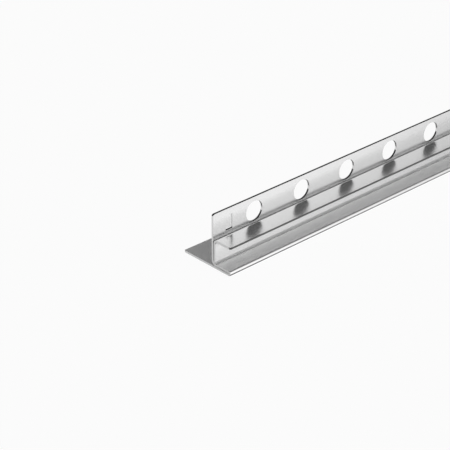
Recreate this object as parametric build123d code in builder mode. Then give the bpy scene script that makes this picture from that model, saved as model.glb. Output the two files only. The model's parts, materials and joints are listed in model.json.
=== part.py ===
"""Shower slope wedge profile: a folded sheet profile with a shelf angle fixed to its web.

It lies on its face plate, as it is stored. X runs along the length, Z points up, and the
origin is under the middle of the plate. The deep end of the wedge is at low X, and the
folded edge of the plate is at low Y. All sizes are in millimetres.
"""

import os
from math import floor, sqrt

from build123d import *

# Sheet of the main profile
sheet = 1.0
seam = 0.3
foot_bend = 1.6

# Overall form of the main profile
length = 980.0
deep_end = 30.4
shallow_end = 15.4
folded_face = 11.2
web_rim = 2.1

# Shelf angle
angle_sheet = 1.0
angle_gap = 0.3
angle_bend = 1.0
shelf_height = 14.4
shelf_setback = 0.2
leg_clearance = 0.12

# Rounding of the free corners, seen flat on each sheet
plate_corner = 0.5
web_corner = 1.0
shelf_corner = 1.0

# Round holes in the web, which start level with the shelf
hole_diameter = 10.0
hole_pitch = 30.0
hole_margin = 25.0

# Bent slot in the web, near the deep end
slot_width = 1.0
slot_from_end = 11.5
slot_rise = 7.2
slot_foot = 3.9
slot_lift = 1.5

# Places that follow from the sizes, seen in the section
near_end = -length / 2
folded_edge = -deep_end / 2
deep_edge = folded_edge + deep_end
shallow_edge = folded_edge + shallow_end
web_front = folded_edge + folded_face
web_back = web_front + sheet
web_top = shelf_height + hole_diameter + web_rim
plate_top = 2 * sheet + seam
shelf_front = folded_edge + shelf_setback
section_plane = Plane.YZ.offset(near_end)

# Centre lines of the two sheets
web_middle = web_front + sheet / 2
fold_turn = (sheet + seam) / 2
foot_turn = foot_bend + sheet / 2
leg_middle = web_front - angle_gap - angle_sheet / 2
shelf_middle = shelf_height - angle_sheet / 2
angle_turn = angle_bend + angle_sheet / 2

# The leg's lower edge stands in the bend at the web's foot, just clear of it
leg_drop = sqrt((foot_bend - leg_clearance) ** 2 - (foot_bend - angle_gap) ** 2)
leg_bottom = plate_top + foot_bend - leg_drop

# Places of the cut-outs, seen from behind the web with the deep end at zero
hole_count = floor((length - 2 * hole_margin) / hole_pitch) + 1
hole_height = shelf_height + hole_diameter / 2
hole_places = [(hole_margin + k * hole_pitch, hole_height) for k in range(hole_count)]
slot_corner = (slot_from_end, shelf_height + slot_lift)


# The main profile is one sheet: out along the face plate, folded flat back on itself at the
# edge, and bent up into the web.
with BuildPart() as profile:
    with BuildSketch(section_plane):
        with BuildLine():
            plate = Line(
                (deep_edge, sheet / 2),
                (folded_edge + sheet / 2 + fold_turn, sheet / 2),
            )
            fold = Line(
                plate @ 1 + (0, 2 * fold_turn),
                (web_middle - foot_turn, sheet / 2 + 2 * fold_turn),
            )
            SagittaArc(plate @ 1, fold @ 0, fold_turn)
            foot = JernArc(fold @ 1, fold % 1, foot_turn, 90)
            Line(foot @ 1, (web_middle, web_top))
        trace(line_width=sheet)
    extrude(amount=length)

    # The plate narrows from the deep end to the shallow end
    with BuildSketch(Plane.XY):
        with BuildLine():
            Polyline(
                (near_end, deep_edge),
                (near_end + length, deep_edge),
                (near_end + length, shallow_edge),
                close=True,
            )
        make_face()
    extrude(amount=sheet, mode=Mode.SUBTRACT)

    # The plate's two free corners and the web's two upper corners are rounded
    fillet(profile.edges().filter_by(Axis.Z).group_by(Axis.Z)[0], plate_corner)
    fillet(profile.edges().filter_by(Axis.Y).group_by(Axis.Z)[-1], web_corner)

    # A row of round holes stands on the level of the shelf
    web_plane = Plane((near_end, web_back, 0), x_dir=(1, 0, 0), z_dir=(0, -1, 0))
    with BuildSketch(web_plane):
        with Locations(*hole_places):
            Circle(hole_diameter / 2)
    extrude(amount=sheet, mode=Mode.SUBTRACT)

    # The bent slot has a tall arm and a short foot towards the end
    with BuildSketch(web_plane):
        with Locations(slot_corner):
            Rectangle(slot_width, slot_rise, align=(Align.MAX, Align.MIN))
            Rectangle(slot_foot, slot_width, align=(Align.MAX, Align.MIN))
    extrude(amount=sheet, mode=Mode.SUBTRACT)

profile.part.label = "folded_profile"


# The shelf angle stands against the web and turns out over the folded plate
with BuildPart() as angle:
    with BuildSketch(section_plane):
        with BuildLine():
            leg = Line((leg_middle, leg_bottom), (leg_middle, shelf_middle - angle_turn))
            bend = JernArc(leg @ 1, leg % 1, angle_turn, 90)
            Line(bend @ 1, (shelf_front, shelf_middle))
        trace(line_width=angle_sheet)
    extrude(amount=length)

    # The shelf's two front corners are rounded
    fillet(angle.edges().filter_by(Axis.Z).group_by(Axis.Y)[0], shelf_corner)

angle.part.label = "shelf_angle"


os.makedirs("parts", exist_ok=True)
export_step(profile.part, "parts/folded_profile.step")
export_step(angle.part, "parts/shelf_angle.step")
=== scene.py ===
"""Dresses the shower slope wedge profile: a folded sheet profile and the shelf angle on its web.

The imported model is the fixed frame. Each piece is made here as a bent sheet, in place of a plain
solid: a flat blank is cut to outline, given its thickness and eased edges, and then bent along
the section's centre line. Lengths are in metres, X runs along the profile, Z points up, and the
deep end of the wedge is at low X.
"""

import json
import logging
import math
from collections.abc import Sequence
from dataclasses import dataclass, field
from enum import Enum, IntEnum
from functools import cache
from typing import ClassVar, NamedTuple

import bmesh
import bpy
from mathutils import Matrix, Vector

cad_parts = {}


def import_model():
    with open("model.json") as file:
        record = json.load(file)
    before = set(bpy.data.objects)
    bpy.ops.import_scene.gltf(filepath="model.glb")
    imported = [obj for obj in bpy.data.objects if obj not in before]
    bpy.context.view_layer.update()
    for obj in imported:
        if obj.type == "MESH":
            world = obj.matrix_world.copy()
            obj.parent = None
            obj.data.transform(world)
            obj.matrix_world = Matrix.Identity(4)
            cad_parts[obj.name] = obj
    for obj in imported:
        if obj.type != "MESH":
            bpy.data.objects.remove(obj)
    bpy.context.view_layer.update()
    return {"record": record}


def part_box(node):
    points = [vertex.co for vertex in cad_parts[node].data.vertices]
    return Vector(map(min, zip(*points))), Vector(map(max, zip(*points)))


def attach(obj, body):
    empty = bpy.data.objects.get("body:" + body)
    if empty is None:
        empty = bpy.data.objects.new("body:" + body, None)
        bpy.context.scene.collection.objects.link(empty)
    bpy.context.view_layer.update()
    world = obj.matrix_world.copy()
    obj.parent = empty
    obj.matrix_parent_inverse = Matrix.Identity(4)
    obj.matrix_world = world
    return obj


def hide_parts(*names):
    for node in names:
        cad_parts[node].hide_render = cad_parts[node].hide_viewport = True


log = logging.getLogger("wedge_profile")

MM = 0.001

# How finely curves are divided, and up to which angle between its faces a surface shades smooth
BEND_STEP = math.radians(7.5)
CORNER_STEPS = 6
EASE_STEPS = 2
SMOOTH_ANGLE = math.radians(20.0)

# The shape of an eased edge, where nothing is hollow, one is sharp and this is round
ROUND_EDGE = 0.5

# Places of a blank that differ by less than this are one
SAME_PLACE = 0.0001 * MM

# Shares of a flat blank's normals. A face looks up or down by more than the first, a wall by
# less than the second, and an end looks along the developed length by less than the third.
FACE_LOOKS_UP = 0.99
WALL_LOOKS_UP = 0.5
END_LOOKS_ALONG = 0.3

# Where a square's low corner lies as seen from its centre, in turns from X
LOW_CORNER_TURN = 5 / 8

WHITE = (1.0, 1.0, 1.0, 1.0)

Point = tuple[float, float]


class Skin(IntEnum):
    """The skins of a cut and bent sheet, in the order of its material slots.

    Front and back are its faces. Its cut edges look along the length, back to the sheet's foot
    or on to its head.
    """

    FRONT = 0
    BACK = 1
    END = 2
    FOOT = 3
    HEAD = 4


class Along(Enum):
    """Ways in which a fine grain can run, as the stretch of its pattern along X, Y and Z."""

    LENGTH = (6.0, 2600.0, 2600.0)
    THICKNESS = (2200.0, 300.0, 300.0)


class Link:
    """One output socket of a shader graph, which ordinary arithmetic can use."""

    def __init__(self, graph: "Graph", socket: bpy.types.NodeSocket) -> None:
        """Keeps the socket and the graph that new nodes are added to.

        Args:
            graph: The graph that holds the socket.
            socket: An output socket.
        """
        self.graph = graph
        self.socket = socket

    def __add__(self, other: "Link | float") -> "Link":
        """Adds a link or a number."""
        return self.graph.math("ADD", self, other)

    def __radd__(self, other: float) -> "Link":
        """Adds this link to a number."""
        return self.graph.math("ADD", other, self)

    def __sub__(self, other: "Link | float") -> "Link":
        """Takes away a link or a number."""
        return self.graph.math("SUBTRACT", self, other)

    def __rsub__(self, other: float) -> "Link":
        """Takes this link away from a number."""
        return self.graph.math("SUBTRACT", other, self)

    def __mul__(self, other: "Link | float") -> "Link":
        """Multiplies by a link or a number."""
        return self.graph.math("MULTIPLY", self, other)

    def __rmul__(self, other: float) -> "Link":
        """Multiplies a number by this link."""
        return self.graph.math("MULTIPLY", other, self)


class Graph:
    """A node tree that is written as expressions."""

    def __init__(self, tree: bpy.types.NodeTree) -> None:
        """Empties the tree.

        Args:
            tree: The node tree of a material or of the world.
        """
        self.tree = tree
        tree.nodes.clear()

    def node(self, kind: str, settings: dict | None = None, inputs: dict | None = None,
             output: str | int = 0) -> Link | None:
        """Adds one node.

        Args:
            kind: The node's type.
            settings: Its own settings, which are made before its sockets are filled.
            inputs: Values or links for its input sockets, by name or number.
            output: The output socket that is returned, by name or number.

        Returns:
            The chosen output as a link, or None for a node without outputs.
        """
        made = self.tree.nodes.new(kind)
        for name, value in (settings or {}).items():
            setattr(made, name, value)
        for name, value in (inputs or {}).items():
            if isinstance(value, Link):
                self.tree.links.new(value.socket, made.inputs[name])
            else:
                made.inputs[name].default_value = value
        return Link(self, made.outputs[output]) if made.outputs else None

    def math(self, operation: str, *values: "Link | float") -> Link:
        """Adds a Math node on its values."""
        return self.node("ShaderNodeMath", {"operation": operation}, dict(enumerate(values)))

    def smooth(self, value: Link, low: float, high: float) -> Link:
        """Turns a value into a soft step.

        Args:
            value: What is measured.
            low: Where the step starts, at zero.
            high: Where the step ends, at one.

        Returns:
            The step, from zero to one.
        """
        return self.node(
            "ShaderNodeMapRange",
            {"interpolation_type": "SMOOTHSTEP"},
            {"Value": value, "From Min": low, "From Max": high},
        )

    def parts(self, vector: Link) -> list[Link]:
        """Splits a vector into its X, Y and Z."""
        split = self.node("ShaderNodeSeparateXYZ", inputs={0: vector}).socket.node
        return [Link(self, output) for output in split.outputs]


def towards(start: "Link | float", end: "Link | float", share: Link) -> Link:
    """Goes from one value to another by a share.

    Args:
        start: The value at a share of zero.
        end: The value at a share of one.
        share: How far to go.

    Returns:
        The value in between.
    """
    return start + share * (end - start)


@dataclass(frozen=True)
class MetalFinish:
    """Bare stainless steel with a fine grain.

    Attributes:
        name: The material's name.
        grey: Its mean colour.
        roughness: Its mean roughness.
        grain: Which way the grain runs.
        tint_spread: How far the colour strays from its mean, each way.
        roughness_spread: How far the roughness strays from its mean, each way.
        grain_depth: How deep the grain's bump is, in metres.
        grain_detail: How many finer layers the grain has.
        cloud_size: The size of the soft patches in the finish, in metres.
        cloud_detail: How many finer layers the patches have.
    """

    name: str
    grey: float
    roughness: float
    grain: Along = Along.LENGTH
    tint_spread: float = 0.003
    roughness_spread: float = 0.004
    grain_depth: float = 0.0006 * MM
    grain_detail: float = 2.0
    cloud_size: float = 90.0 * MM
    cloud_detail: float = 1.0

    @cache
    def material(self) -> bpy.types.Material:
        """Makes the material, once for each finish.

        Returns:
            A material with colour, roughness and bump that vary over the surface.
        """
        made = bpy.data.materials.new(self.name)
        made.use_nodes = True
        graph = Graph(made.node_tree)
        place = graph.node("ShaderNodeTexCoord", output="Object")
        lines = graph.node(
            "ShaderNodeVectorMath",
            {"operation": "MULTIPLY"},
            {0: place, 1: self.grain.value},
        )
        grain = graph.node(
            "ShaderNodeTexNoise",
            inputs={"Vector": lines, "Scale": 1.0, "Detail": self.grain_detail},
        )
        cloud = graph.node(
            "ShaderNodeTexNoise",
            inputs={"Vector": place, "Scale": 1.0 / self.cloud_size, "Detail": self.cloud_detail},
        )
        # Nearly everywhere each noise is within a quarter of one half, so that their sum is
        # within one half of one
        strays = (grain + cloud) - 1.0
        grey = self.grey + strays * (2.0 * self.tint_spread)
        roughness = self.roughness + strays * (2.0 * self.roughness_spread)
        colour = graph.node("ShaderNodeCombineColor", inputs={0: grey, 1: grey, 2: grey})
        bump = graph.node(
            "ShaderNodeBump",
            inputs={"Strength": 1.0, "Distance": self.grain_depth, "Height": grain},
        )
        shader = graph.node(
            "ShaderNodeBsdfPrincipled",
            inputs={"Base Color": colour, "Metallic": 1.0, "Roughness": roughness, "Normal": bump},
        )
        graph.node("ShaderNodeOutputMaterial", inputs={"Surface": shader})
        return made


class Span(NamedTuple):
    """One straight stretch or one bend of a centre line.

    Attributes:
        begin: The developed length at which it begins.
        start: Where it begins, as Y and Z.
        heading: Which way it begins, in radians from Y towards Z.
        curve: One over its radius, above zero to the left, or zero for a straight stretch.
    """

    begin: float
    start: Point
    heading: float
    curve: float


class SheetPath:
    """The centre line of a bent sheet, in the plane across the length."""

    def __init__(self, start: Point, heading: float) -> None:
        """Starts the line.

        Args:
            start: Where the line starts, as Y and Z.
            heading: Which way it starts, in radians from Y towards Z.
        """
        self.spans = [Span(0.0, start, heading, 0.0)]
        self.end = 0.0
        self.rows = [0.0]

    def run(self, length: float) -> "SheetPath":
        """Goes straight on for a length."""
        self.end += length
        self.rows.append(self.end)
        return self

    def turn(self, radius: float, angle: float) -> "SheetPath":
        """Bends the line.

        Args:
            radius: The centre line's radius in the bend.
            angle: How far it turns, in radians, to the left if above zero.

        Returns:
            The same line.
        """
        heading = self.spans[-1].heading
        curve = math.copysign(1.0 / radius, angle)
        self.spans.append(Span(self.end, self.place(self.end, 0.0), heading, curve))
        length = radius * abs(angle)
        steps = math.ceil(abs(angle) / BEND_STEP)
        self.rows.extend(self.end + length * (k + 1) / steps for k in range(steps))
        self.end += length
        self.spans.append(Span(self.end, self.place(self.end, 0.0), heading + angle, 0.0))
        return self

    def place(self, along: float, lift: float) -> Point:
        """Finds a point of the bent sheet.

        Args:
            along: The developed length from the line's start, which may be below zero.
            lift: How far the point lies to the left of the line.

        Returns:
            The point's Y and Z.
        """
        span = next((s for s in reversed(self.spans) if s.begin <= along), self.spans[0])
        gone = along - span.begin
        turned = span.heading + gone * span.curve
        y, z = span.start
        if span.curve:
            y += (math.sin(turned) - math.sin(span.heading)) / span.curve
            z -= (math.cos(turned) - math.cos(span.heading)) / span.curve
        else:
            y += gone * math.cos(span.heading)
            z += gone * math.sin(span.heading)
        return y - lift * math.sin(turned), z + lift * math.cos(turned)


def ring(centre: Point, radius: float, steps: int) -> list[Point]:
    """Divides a circle.

    Args:
        centre: The circle's centre.
        radius: Its radius.
        steps: How many points it gets.

    Returns:
        Points round the centre, the first towards the low corner of a square round it.
    """
    turns = [math.tau * (k / steps + LOW_CORNER_TURN) for k in range(steps)]
    return [(centre[0] + radius * math.cos(a), centre[1] + radius * math.sin(a)) for a in turns]


def rounded(before: Point, corner: Point, after: Point, radius: float) -> list[Point]:
    """Rounds one corner of an outline.

    Args:
        before: The outline's point before the corner.
        corner: The sharp corner.
        after: The outline's point after it.
        radius: The rounding's radius.

    Returns:
        Points along the rounding, in the outline's order.
    """
    at = Vector(corner)
    back, on = (Vector(before) - at).normalized(), (Vector(after) - at).normalized()
    half = back.angle(on) / 2.0
    middle = at + (back + on).normalized() * (radius / math.sin(half))
    first, last = at + back * (radius / math.tan(half)), at + on * (radius / math.tan(half))
    start, sweep = first - middle, (first - middle).angle_signed(last - middle)
    points = []
    for k in range(CORNER_STEPS + 1):
        arm = start.copy()
        arm.rotate(Matrix.Rotation(-sweep * k / CORNER_STEPS, 2))
        points.append(tuple(middle + arm))
    return points


class Blank:
    """A flat sheet before bending, in the plane of X and the developed length."""

    def __init__(self) -> None:
        """Starts with nothing cut."""
        self.mesh = bmesh.new()
        self.corners: dict[tuple[int, int], bmesh.types.BMVert] = {}

    def corner(self, point: Point) -> bmesh.types.BMVert:
        """Gives the one vertex that stands at a place of the blank.

        Args:
            point: The place, as X and the developed length.

        Returns:
            The vertex that stands there already, or else a new one.
        """
        key = (round(point[0] / SAME_PLACE), round(point[1] / SAME_PLACE))
        if key not in self.corners:
            self.corners[key] = self.mesh.verts.new((point[0], point[1], 0.0))
        return self.corners[key]

    def face(self, points: Sequence[Point]) -> None:
        """Adds one flat face with these corners."""
        self.mesh.faces.new([self.corner(p) for p in points])

    def strips(self, stations: Sequence[float], rows: Sequence[float]) -> None:
        """Adds a grid of faces.

        Args:
            stations: Where the grid is divided along X.
            rows: Where it is divided along the developed length.
        """
        for left, right in zip(stations, stations[1:]):
            for low, high in zip(rows, rows[1:]):
                self.face([(left, low), (right, low), (right, high), (left, high)])

    def round_hole(self, centre: Point, radius: float, rim: float, box: tuple[Point, Point],
                   steps: int) -> None:
        """Fills a rectangle round a round hole.

        Args:
            centre: The hole's centre.
            radius: Its radius.
            rim: The width of the ring of narrow faces round it.
            box: The rectangle's low and high corner.
            steps: How many sides the hole has, a multiple of four.
        """
        inner, outer = ring(centre, radius, steps), ring(centre, radius + rim, steps)
        for k in range(steps):
            after = (k + 1) % steps
            self.face([outer[k], outer[after], inner[after], inner[k]])
        (left, low), (right, high) = box
        square = [(left, low), (right, low), (right, high), (left, high)]
        side = steps // len(square)
        for k, corner in enumerate(square):
            arc = [outer[(k * side + j) % steps] for j in range(side + 1)]
            self.face([corner, square[(k + 1) % len(square)], *reversed(arc)])

    def thicken(self, thickness: float, ease: float) -> None:
        """Gives the sheet its thickness, half each way, and eases its cut edges.

        Args:
            thickness: The sheet's thickness.
            ease: The width of the small rounding along every cut edge.
        """
        faces = list(self.mesh.faces)
        made = bmesh.ops.extrude_face_region(self.mesh, geom=faces, use_keep_orig=True)
        top = [v for v in made["geom"] if isinstance(v, bmesh.types.BMVert)]
        bmesh.ops.translate(self.mesh, verts=top, vec=(0.0, 0.0, thickness))
        bmesh.ops.translate(self.mesh, verts=self.mesh.verts, vec=(0.0, 0.0, -thickness / 2.0))
        bmesh.ops.recalc_face_normals(self.mesh, faces=self.mesh.faces)
        # A cut edge runs where a face of the sheet meets a wall
        rims = [
            e for e in self.mesh.edges
            if len({abs(f.normal.z) > WALL_LOOKS_UP for f in e.link_faces}) == 2
        ]
        bmesh.ops.bevel(
            self.mesh, geom=rims, affect="EDGES", offset=ease, offset_type="OFFSET",
            segments=EASE_STEPS, profile=ROUND_EDGE,
        )
        for face in self.mesh.faces:
            face.smooth = True
            face.material_index = self._skin(face.normal)

    @staticmethod
    def _skin(normal: Vector) -> Skin:
        """Tells a flat blank's skins apart by the way in which they look.

        Args:
            normal: The normal of one face.

        Returns:
            The skin that the face belongs to.
        """
        if abs(normal.z) > FACE_LOOKS_UP:
            return Skin.FRONT if normal.z > 0.0 else Skin.BACK
        if abs(normal.y) < END_LOOKS_ALONG:
            return Skin.END
        return Skin.HEAD if normal.y > 0.0 else Skin.FOOT

    def bend(self, path: SheetPath) -> None:
        """Bends the sheet along a centre line.

        Args:
            path: The centre line, which starts at the blank's developed length of zero.
        """
        for vert in self.mesh.verts:
            x, along, lift = vert.co
            vert.co = (x, *path.place(along, lift))

    def piece(self, name: str) -> bpy.types.Object:
        """Makes the sheet a piece of the scene.

        Args:
            name: The piece's name.

        Returns:
            The new object.
        """
        data = bpy.data.meshes.new(name)
        self.mesh.to_mesh(data)
        self.mesh.free()
        data.set_sharp_from_angle(angle=SMOOTH_ANGLE)
        made = bpy.data.objects.new(name, data)
        bpy.context.scene.collection.objects.link(made)
        return made


@dataclass(frozen=True)
class Frame:
    """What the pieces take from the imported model.

    Attributes:
        near: X of the deep end.
        far: X of the shallow end.
        edge: Y of the folded edge.
        top: Z of the web's top.
        thickness: The main sheet's thickness.
        hole: Radius of the round holes.
        holes: The centres of all round holes, as X and Z.
    """

    near: float
    far: float
    edge: float
    top: float
    thickness: float
    hole: float
    holes: tuple[Point, ...]

    @classmethod
    def read(cls, record: dict) -> "Frame":
        """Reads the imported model.

        The record states the first and the last round hole and two that are neighbours, and
        the row is filled in between.

        Args:
            record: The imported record.

        Returns:
            The sizes and places.
        """
        low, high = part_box("folded_profile")
        bores = [mount for mount in record["mounts"] if mount["kind"] == "bore"]
        along = sorted(bore["pos_m"][0] for bore in bores)
        pitch = min(after - before for before, after in zip(along, along[1:]))
        count = round((along[-1] - along[0]) / pitch) + 1
        level = bores[0]["pos_m"][2]
        return cls(
            near=low.x, far=high.x, edge=low.y, top=high.z,
            thickness=bores[0]["dims"]["length_mm"] * MM,
            hole=bores[0]["dims"]["r_mm"] * MM,
            holes=tuple((along[0] + k * pitch, level) for k in range(count)),
        )


# The faces' grain runs along the profile. Cut edges are grained across the sheet. Painted shade
# makes the web's top and the shelf's front edge dark, and painted light brightens the leg's foot
# edge.
BRIGHT = MetalFinish("bright_sheet_face", grey=0.79, roughness=0.27)
MATT = MetalFinish("matt_sheet_back", grey=0.93, roughness=0.85, roughness_spread=0.04)
CUT = MetalFinish(
    "cut_sheet_edge", grey=0.78, roughness=0.25, grain=Along.THICKNESS, roughness_spread=0.05
)
# Painted shade: a near-black grey that darkens the web's top and the shelf's front edge
PAINTED_SHADE_EDGE = MetalFinish(
    "trimmed_sheet_edge", grey=0.13, roughness=0.3, grain=Along.THICKNESS, roughness_spread=0.05
)
# Painted light: a lighter grey than the other cut edges, which brightens the angle leg's bottom
# edge
PAINTED_LIGHT_EDGE = MetalFinish("bare_leg_edge", grey=0.92, roughness=0.3, grain=Along.THICKNESS)


@dataclass
class BentSheet:
    """A piece that is cut from flat sheet and then bent.

    Attributes:
        name: The piece's name.
        node: The solid that the piece stands for.
        slot: The record's material slot.
        finishes: The finish of each skin.
        frame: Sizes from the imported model.
        thickness: The sheet's thickness.
        path: The section's centre line.
        ease: The small rounding along cut edges.
    """

    name: ClassVar[str]
    node: ClassVar[str]
    slot: ClassVar[str]
    finishes: ClassVar[dict[Skin, MetalFinish]]

    frame: Frame
    thickness: float = field(init=False)
    path: SheetPath = field(init=False)
    ease: float = 0.08 * MM

    def blank(self) -> Blank:
        """Cuts the flat blank, which each piece does in its own way."""
        raise NotImplementedError

    def build(self) -> bpy.types.Object:
        """Makes the piece.

        Returns:
            The bent sheet, in place.
        """
        sheet = self.blank()
        sheet.thicken(self.thickness, self.ease)
        sheet.bend(self.path)
        return sheet.piece(self.name)

    def dress(self, piece: bpy.types.Object) -> None:
        """Puts the finishes on the piece and ties it to the frame.

        Args:
            piece: The bent sheet.
        """
        for skin in Skin:
            piece.data.materials.append(self.finishes[skin].material())
        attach(piece, "root")
        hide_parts(self.node)


@dataclass
class FoldedProfile(BentSheet):
    """The main sheet: face plate, folded edge, fold, foot and web.

    Attributes:
        deep_end: The plate's width at the deep end.
        shallow_end: The plate's width at the shallow end.
        folded_face: From the folded edge to the web's front.
        seam: The gap inside the folded edge.
        foot_bend: The inner radius of the bend at the web's foot.
        web_corner: The radius of the web's two upper corners.
        plate_corner: The radius of the plate's two free corners.
        slot_width: The width of the bent slot.
        slot_from_end: From the deep end to the far side of the slot.
        slot_rise: The slot's height.
        slot_foot: The length of the slot's foot, which points to the deep end.
        slot_lift: From the lowest point of the round holes up to the slot.
        hole_rim: The width of the ring of narrow faces round each hole.
        hole_steps: How many sides each round hole has.
        fold_start: Y of the place where the plate runs into the fold.
        web_start: The developed length at which the web goes straight up.
        web_level: Z of that place.
    """

    name = "bent_profile_sheet"
    node = "folded_profile"
    slot = "profile_steel"
    finishes = {
        Skin.FRONT: BRIGHT, Skin.BACK: MATT, Skin.END: CUT, Skin.FOOT: CUT, Skin.HEAD: PAINTED_SHADE_EDGE,
    }

    deep_end: float = 30.4 * MM
    shallow_end: float = 15.4 * MM
    folded_face: float = 11.2 * MM
    seam: float = 0.3 * MM
    foot_bend: float = 1.6 * MM
    web_corner: float = 1.0 * MM
    plate_corner: float = 0.5 * MM
    slot_width: float = 1.0 * MM
    slot_from_end: float = 11.5 * MM
    slot_rise: float = 7.2 * MM
    slot_foot: float = 3.9 * MM
    slot_lift: float = 1.5 * MM
    hole_rim: float = 0.6 * MM
    hole_steps: int = 64
    fold_start: float = field(init=False)
    web_start: float = field(init=False)
    web_level: float = field(init=False)

    def __post_init__(self) -> None:
        """Lays out the section's centre line."""
        self.thickness = sheet = self.frame.thickness
        fold_turn = (sheet + self.seam) / 2.0
        foot_turn = self.foot_bend + sheet / 2.0
        flat = self.folded_face - foot_turn - fold_turn
        self.path = (
            SheetPath((self.frame.edge + sheet / 2.0 + fold_turn, sheet / 2.0), math.pi)
            .turn(fold_turn, -math.pi)
            .run(flat)
            .turn(foot_turn, math.pi / 2.0)
        )
        self.fold_start = self.path.place(0.0, 0.0)[0]
        self.web_start = self.path.end
        self.web_level = self.path.place(self.web_start, 0.0)[1]

    def web_row(self, height: float) -> float:
        """Gives the developed length of a height on the web."""
        return self.web_start + height - self.web_level

    def plate_edge(self, x: float) -> float:
        """Finds the plate's tapering edge.

        Args:
            x: A place along the profile.

        Returns:
            The developed length of the edge there.
        """
        share = (x - self.frame.near) / (self.frame.far - self.frame.near)
        width = self.deep_end + (self.shallow_end - self.deep_end) * share
        return self.fold_start - (self.frame.edge + width)

    def blank(self) -> Blank:
        """Cuts the flat blank.

        Returns:
            The blank, with its holes and slot, not yet thick.
        """
        near, far, top = self.frame.near, self.frame.far, self.web_row(self.frame.top)
        centres = [(x, self.web_row(z)) for x, z in self.frame.holes]
        half_pitch = (centres[1][0] - centres[0][0]) / 2.0
        # The blank is divided midway between holes, and between the slot and the first hole
        first = (near + self.slot_from_end + centres[0][0] - self.frame.hole) / 2.0
        stations = [near, first, *(x + half_pitch for x, _ in centres), far]
        # The holes stand in the middle of the band from this row to the web's top
        low = centres[0][1] - (top - centres[0][1])

        made = Blank()
        made.strips(stations, [*self.path.rows, low])
        for centre, left, right in zip(centres, stations[1:], stations[2:]):
            box = ((left, low), (right, top))
            made.round_hole(centre, self.frame.hole, self.hole_rim, box, self.hole_steps)
        self._cut_web_ends(made, stations, low, top)
        self._cut_plate(made, stations)
        return made

    def _cut_web_ends(self, made: Blank, stations: Sequence[float], low: float, top: float) -> None:
        """Cuts the web's two ends, with rounded corners and the slot at the deep end.

        Args:
            made: The blank that is cut.
            stations: Where it is divided along X.
            low: The row under the round holes.
            top: The web's top row.
        """
        near, first, *_, last, far = stations
        made.face([
            (last, low), (far, low),
            *rounded((far, low), (far, top), (last, top), self.web_corner),
            (last, top),
        ])
        right = near + self.slot_from_end
        arm, foot = right - self.slot_width, right - self.slot_foot
        bottom = self.web_row(self.frame.holes[0][1] - self.frame.hole + self.slot_lift)
        step, head = bottom + self.slot_width, bottom + self.slot_rise
        # One face lies between the end and the slot, and the other between the slot and a hole
        made.face([
            (near, low), (foot, bottom), (foot, step), (arm, step), (arm, head), (arm, top),
            *rounded((arm, top), (near, top), (near, low), self.web_corner),
        ])
        made.face([
            (near, low), (first, low), (first, top), (arm, top), (arm, head), (right, head),
            (right, bottom), (foot, bottom),
        ])

    def _cut_plate(self, made: Blank, stations: Sequence[float]) -> None:
        """Cuts the tapering face plate, with its two free corners rounded.

        Args:
            made: The blank that is cut.
            stations: Where it is divided along X.
        """
        for left, right in zip(stations, stations[1:]):
            start, end = (left, self.plate_edge(left)), (right, self.plate_edge(right))
            edge = [start, end]
            if left == stations[0]:
                edge = [*rounded((left, 0.0), start, end, self.plate_corner), end]
            if right == stations[-1]:
                edge = [start, *rounded(start, end, (right, 0.0), self.plate_corner)]
            made.face([*edge, (right, 0.0), (left, 0.0)])


@dataclass
class ShelfAngle(BentSheet):
    """The L-shaped angle on the web, which makes the channel for a panel's edge.

    Attributes:
        thickness: The angle's thickness.
        bend: The inner radius of its bend.
        corner: The radius of the shelf's two front corners.
        last_row: The width of the shelf's last row of faces, which holds those corners.
        parts: How many parts it is divided into along its length.
        edge: The developed length at the shelf's front edge.
    """

    name = "bent_shelf_angle"
    node = "shelf_angle"
    slot = "angle_steel"
    finishes = {
        Skin.FRONT: BRIGHT, Skin.BACK: BRIGHT, Skin.END: CUT, Skin.FOOT: PAINTED_LIGHT_EDGE, Skin.HEAD: PAINTED_SHADE_EDGE,
    }

    thickness: float = 1.0 * MM
    bend: float = 1.0 * MM
    corner: float = 1.0 * MM
    last_row: float = 2.0 * MM
    parts: int = 32
    edge: float = field(init=False)

    def __post_init__(self) -> None:
        """Lays out the section's centre line in the solid's box."""
        low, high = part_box(self.node)
        half = self.thickness / 2.0
        turn = self.bend + half
        self.path = (
            SheetPath((high.y - half, low.z), math.pi / 2.0)
            .run(high.z - low.z - half - turn)
            .turn(turn, math.pi / 2.0)
        )
        self.edge = self.path.end + (high.y - low.y - half - turn)

    def blank(self) -> Blank:
        """Cuts the flat blank.

        Returns:
            The blank, with the shelf's front corners rounded, not yet thick.
        """
        low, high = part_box(self.node)
        row = self.edge - self.last_row
        step = (high.x - low.x) / self.parts
        stations = [low.x + k * step for k in range(self.parts + 1)]

        made = Blank()
        made.strips(stations, [*self.path.rows, row])
        for left, right in zip(stations, stations[1:]):
            start, end = (right, self.edge), (left, self.edge)
            edge = [start, end]
            if left == stations[0]:
                edge = [start, *rounded(start, end, (left, row), self.corner)]
            if right == stations[-1]:
                edge = [*rounded((right, row), start, end, self.corner), end]
            made.face([(left, row), (right, row), *edge])
        return made


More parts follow.
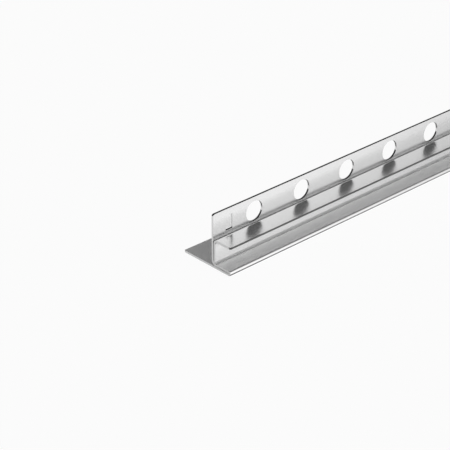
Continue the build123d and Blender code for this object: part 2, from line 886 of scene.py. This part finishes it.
@dataclass(frozen=True)
class Studio:
    """A pale floor under a soft sky that is brighter in some quarters than in others.

    A fade is a pair of places in the direction in which one looks, taken as an arrow of length
    one: heights are along Z, and the others are along Y or X.

    Attributes:
        floor_size: The side of the square floor.
        floor_gap: How far the floor lies under the object.
        floor_grey: The floor's own colour.
        seen_white: The share of plain white that the camera sees in the floor.
        rim: The sky's brightness round the horizon, and below it down to the bottom.
        front: Its brightness high on the side of the folded edge.
        rear: Its brightness high on the other side.
        zenith: Its brightness overhead.
        bottom: Its brightness straight below, which only metal sees.
        near_side: The share of all this that is left overhead and towards the deep end.
        far_side: The share of all this that is left towards the shallow end.
        rim_fade: The heights between which the rim gives way to the sky above it.
        zenith_fade: The heights between which that gives way to the zenith.
        bottom_fade: The heights between which the bottom gives way to the rim.
        rear_fade: Where the front gives way to the rear, along Y.
        near_fade: Where the near side gives way to the full sky, along X.
        far_fade: Where the full sky gives way to the far side, along X.
    """

    floor_size: float = 80.0
    floor_gap: float = 0.04 * MM
    floor_grey: float = 0.9
    seen_white: float = 0.95
    rim: float = 1.36
    front: float = 1.46
    rear: float = 0.07
    zenith: float = 0.3
    bottom: float = 0.0
    near_side: float = 0.62
    far_side: float = 0.28
    rim_fade: tuple[float, float] = (0.0, 0.38)
    zenith_fade: tuple[float, float] = (0.50, 0.80)
    bottom_fade: tuple[float, float] = (-0.62, -0.47)
    rear_fade: tuple[float, float] = (-0.25, 0.25)
    near_fade: tuple[float, float] = (0.10, 0.55)
    far_fade: tuple[float, float] = (0.60, 0.85)

    def build(self) -> bpy.types.Object:
        """Makes the floor and the sky.

        Returns:
            The floor.
        """
        data = bpy.data.meshes.new("studio_floor")
        shape = bmesh.new()
        bmesh.ops.create_grid(shape, x_segments=1, y_segments=1, size=self.floor_size / 2.0)
        shape.to_mesh(data)
        shape.free()
        floor = bpy.data.objects.new("studio_floor", data)
        floor.location.z = -self.floor_gap
        bpy.context.scene.collection.objects.link(floor)
        floor.data.materials.append(self._floor_material())
        self._light()
        return floor

    def _floor_material(self) -> bpy.types.Material:
        """Makes the pale floor, which is mostly plain white to the camera and open to metal.

        Returns:
            The floor's material.
        """
        made = bpy.data.materials.new("pale_floor")
        made.use_nodes = True
        graph = Graph(made.node_tree)
        grey = self.floor_grey
        matt = graph.node("ShaderNodeBsdfDiffuse", inputs={"Color": (grey, grey, grey, 1.0)})
        white = graph.node("ShaderNodeEmission", inputs={"Color": WHITE, "Strength": 1.0})
        camera = graph.node("ShaderNodeLightPath", output="Is Camera Ray")
        glossy = graph.node("ShaderNodeLightPath", output="Is Glossy Ray")
        clear = graph.node("ShaderNodeLightPath", output="Is Transmission Ray")
        share = camera * self.seen_white + clear * self.seen_white
        mixed = graph.node("ShaderNodeMixShader", inputs={0: share, 1: matt, 2: white})
        # An upright face mirrors what lies below the horizon, so metal looks through the floor
        open_way = graph.node("ShaderNodeBsdfTransparent")
        shown = graph.node("ShaderNodeMixShader", inputs={0: glossy, 1: mixed, 2: open_way})
        graph.node("ShaderNodeOutputMaterial", inputs={"Surface": shown})
        return made

    def _light(self) -> None:
        """Makes the sky, which the camera itself sees as plain white."""
        world = bpy.data.worlds.new("studio_sky")
        bpy.context.scene.world = world
        world.use_nodes = True
        graph = Graph(world.node_tree)
        x, y, z = graph.parts(graph.node("ShaderNodeTexCoord", output="Generated"))
        sky = towards(self.front, self.rear, graph.smooth(y, *self.rear_fade))
        sky = towards(sky, self.zenith, graph.smooth(z, *self.zenith_fade))
        sky = towards(sky, self.rim, 1.0 - graph.smooth(z, *self.rim_fade))
        sky = sky * towards(self.near_side, 1.0, graph.smooth(x, *self.near_fade))
        sky = sky * towards(1.0, self.far_side, graph.smooth(x, *self.far_fade))
        sky = towards(sky, self.bottom, 1.0 - graph.smooth(z, *self.bottom_fade))
        sky = towards(sky, 1.0, graph.node("ShaderNodeLightPath", output="Is Camera Ray"))
        shader = graph.node("ShaderNodeBackground", inputs={"Color": WHITE, "Strength": sky})
        graph.node("ShaderNodeOutputWorld", inputs={"Surface": shader})


@dataclass(frozen=True)
class ViewCamera:
    """The camera at the photograph's angle.

    Attributes:
        place: Where it stands.
        azimuth: Its angle round the object, in degrees, where zero looks along Y.
        elevation: Its angle above the floor, in degrees.
        lens: Its focal length, in millimetres.
        sensor: Its sensor's width, in millimetres.
        clip: The nearest and the farthest distance that it sees.
    """

    place: tuple[float, float, float] = (-906.79 * MM, -459.02 * MM, 360.47 * MM)
    azimuth: float = -42.974
    elevation: float = 28.782
    lens: float = 129.06
    sensor: float = 36.0
    clip: tuple[float, float] = (0.01, 200.0)

    def build(self) -> bpy.types.Object:
        """Makes the camera and gives it to the scene.

        Returns:
            The camera.
        """
        around, above = math.radians(self.azimuth), math.radians(self.elevation)
        back = Vector((
            math.sin(around) * math.cos(above),
            -math.cos(around) * math.cos(above),
            math.sin(above),
        ))
        data = bpy.data.cameras.new("view_camera")
        data.lens = self.lens
        data.sensor_width = self.sensor
        data.clip_start, data.clip_end = self.clip
        made = bpy.data.objects.new("view_camera", data)
        made.location = self.place
        made.rotation_euler = (-back).to_track_quat("-Z", "Y").to_euler()
        bpy.context.scene.collection.objects.link(made)
        bpy.context.scene.camera = made
        return made


def main() -> None:
    """Builds and dresses the whole object."""
    logging.basicConfig(level=logging.INFO, format="%(name)s: %(message)s")
    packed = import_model()
    bpy.context.scene.view_settings.view_transform = "Standard"

    frame = Frame.read(packed["record"])
    for part in (FoldedProfile(frame), ShelfAngle(frame)):
        piece = part.build()
        part.dress(piece)
        log.info("%s: %d faces, for %s", piece.name, len(piece.data.polygons), part.node)

    Studio().build()
    ViewCamera().build()


if __name__ == "__main__":
    main()
